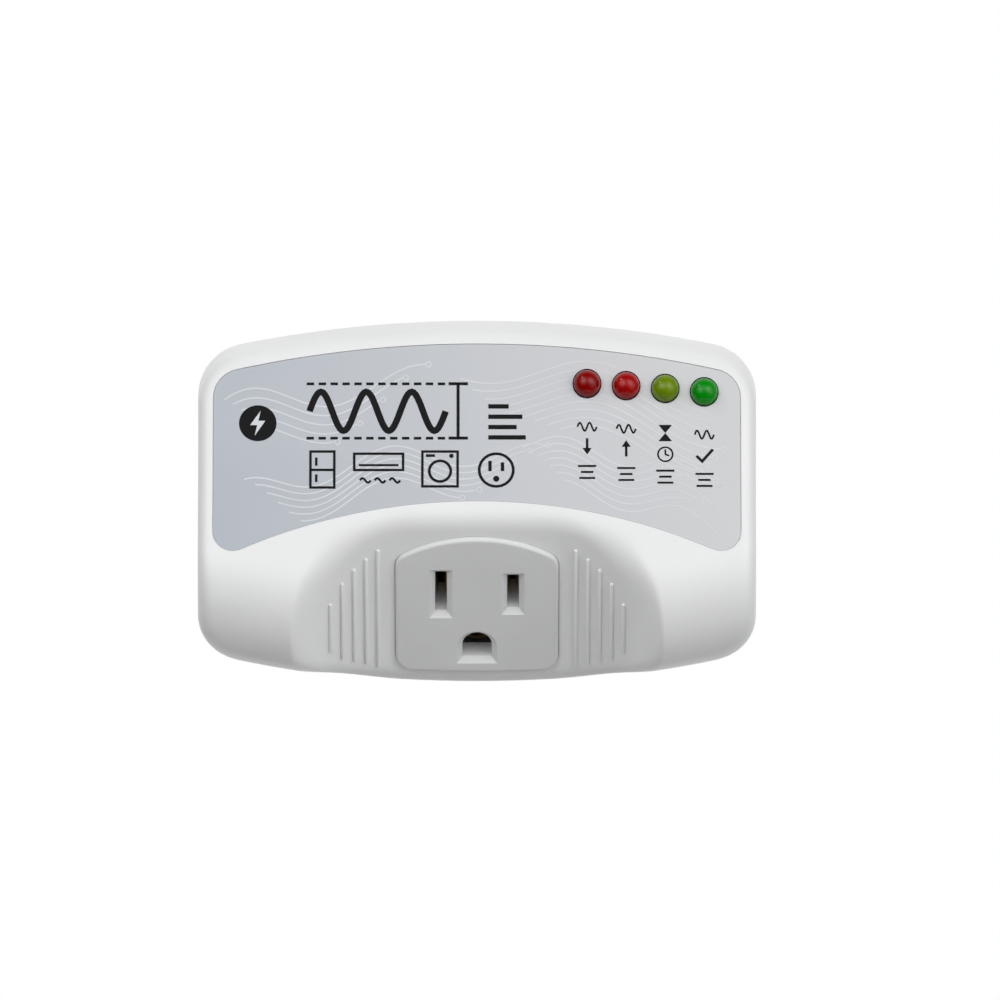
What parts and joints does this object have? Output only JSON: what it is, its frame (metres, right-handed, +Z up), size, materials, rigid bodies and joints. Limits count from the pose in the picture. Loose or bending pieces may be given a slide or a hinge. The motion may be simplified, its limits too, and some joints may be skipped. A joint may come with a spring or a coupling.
{
  "type": "plug-in appliance voltage protector",
  "caption": "Plug-in voltage protector: a white housing with a tilted label panel and lamps over a grounded socket in a scooped arch, and blades with a ground pin behind.",
  "frame": {"origin": "on the axis of the ground pin, in the plane of the back face that rests on the wall", "axes": "+Z up along the wall, +Y into the wall along the ground pin, -Y out to the front, +X to the right seen from the front"},
  "size_m": [0.099, 0.066, 0.0638],
  "materials": {
    "housing_white": "satin moulded",
    "housing_back": "fine moulded texture",
    "label_film": "printed film, satin",
    "face_plastic": "satin moulded",
    "base_plastic": "moulded",
    "contact_brass": "stamped",
    "blade_brass": "polished",
    "board_laminate": "solder mask",
    "relay_case": "moulded",
    "bobbin_plastic": "moulded",
    "coil_copper": "enamelled winding",
    "plated_steel": "plated",
    "lamp_dark_red": "tinted clear",
    "lamp_red": "tinted clear",
    "lamp_yellow_green": "tinted clear",
    "lamp_green": "tinted clear",
    "component_black": "moulded",
    "varistor_coat": "dipped",
    "film_case": "moulded",
    "can_sleeve": "shrink sleeve",
    "resistor_coat": "dipped",
    "wire_line": "insulation",
    "wire_neutral": "insulation",
    "wire_load": "insulation",
    "screw_steel": "zinc plated"
  },
  "bodies": {
    "housing": {"front_cover": "housing_white", "rear_cover": "housing_back", "label": "label_film", "receptacle_face": "face_plastic", "receptacle_base": "base_plastic", "line_contact": "contact_brass", "neutral_contact": "contact_brass", "ground_contact": "contact_brass", "ground_strap": "contact_brass", "line_blade": "blade_brass", "neutral_blade": "blade_brass", "ground_pin": "blade_brass", "blade_carrier": "base_plastic", "circuit_board": "board_laminate", "relay_base": "component_black", "relay_cover": "relay_case", "relay_bobbin": "bobbin_plastic", "relay_coil": "coil_copper", "relay_core": "plated_steel", "relay_yoke": "plated_steel", "relay_hinge_leaf": "contact_brass", "relay_fixed_contact": "contact_brass", "relay_pins": "plated_steel", "lamp_low_voltage": "lamp_dark_red", "lamp_high_voltage": "lamp_red", "lamp_wait": "lamp_yellow_green", "lamp_normal": "lamp_green", "lamp_spacers": "component_black", "varistor": "varistor_coat", "film_capacitor": "film_case", "smoothing_capacitor": "can_sleeve", "rectifier_diodes": "component_black", "control_chip": "component_black", "resistors": "resistor_coat", "driver_transistor": "component_black", "line_wire": "wire_line", "neutral_wire": "wire_neutral", "load_wire": "wire_load", "housing_screws": "screw_steel", "board_screws": "screw_steel", "socket_screws": "screw_steel", "carrier_screws": "screw_steel"},
    "armature": {"relay_armature": "plated_steel", "relay_contact_leaf": "contact_brass"}
  },
  "joints": [
    {"name": "armature_hinge", "type": "hinge", "parent": "housing", "child": "armature", "pos_m": [-0.0359, -0.022, -0.0064], "axis": [-1, 0, 0], "range_deg": [0, 3.5], "stiffness_Nm_per_rad": 0.02, "springref_deg": -11.46}
  ]
}
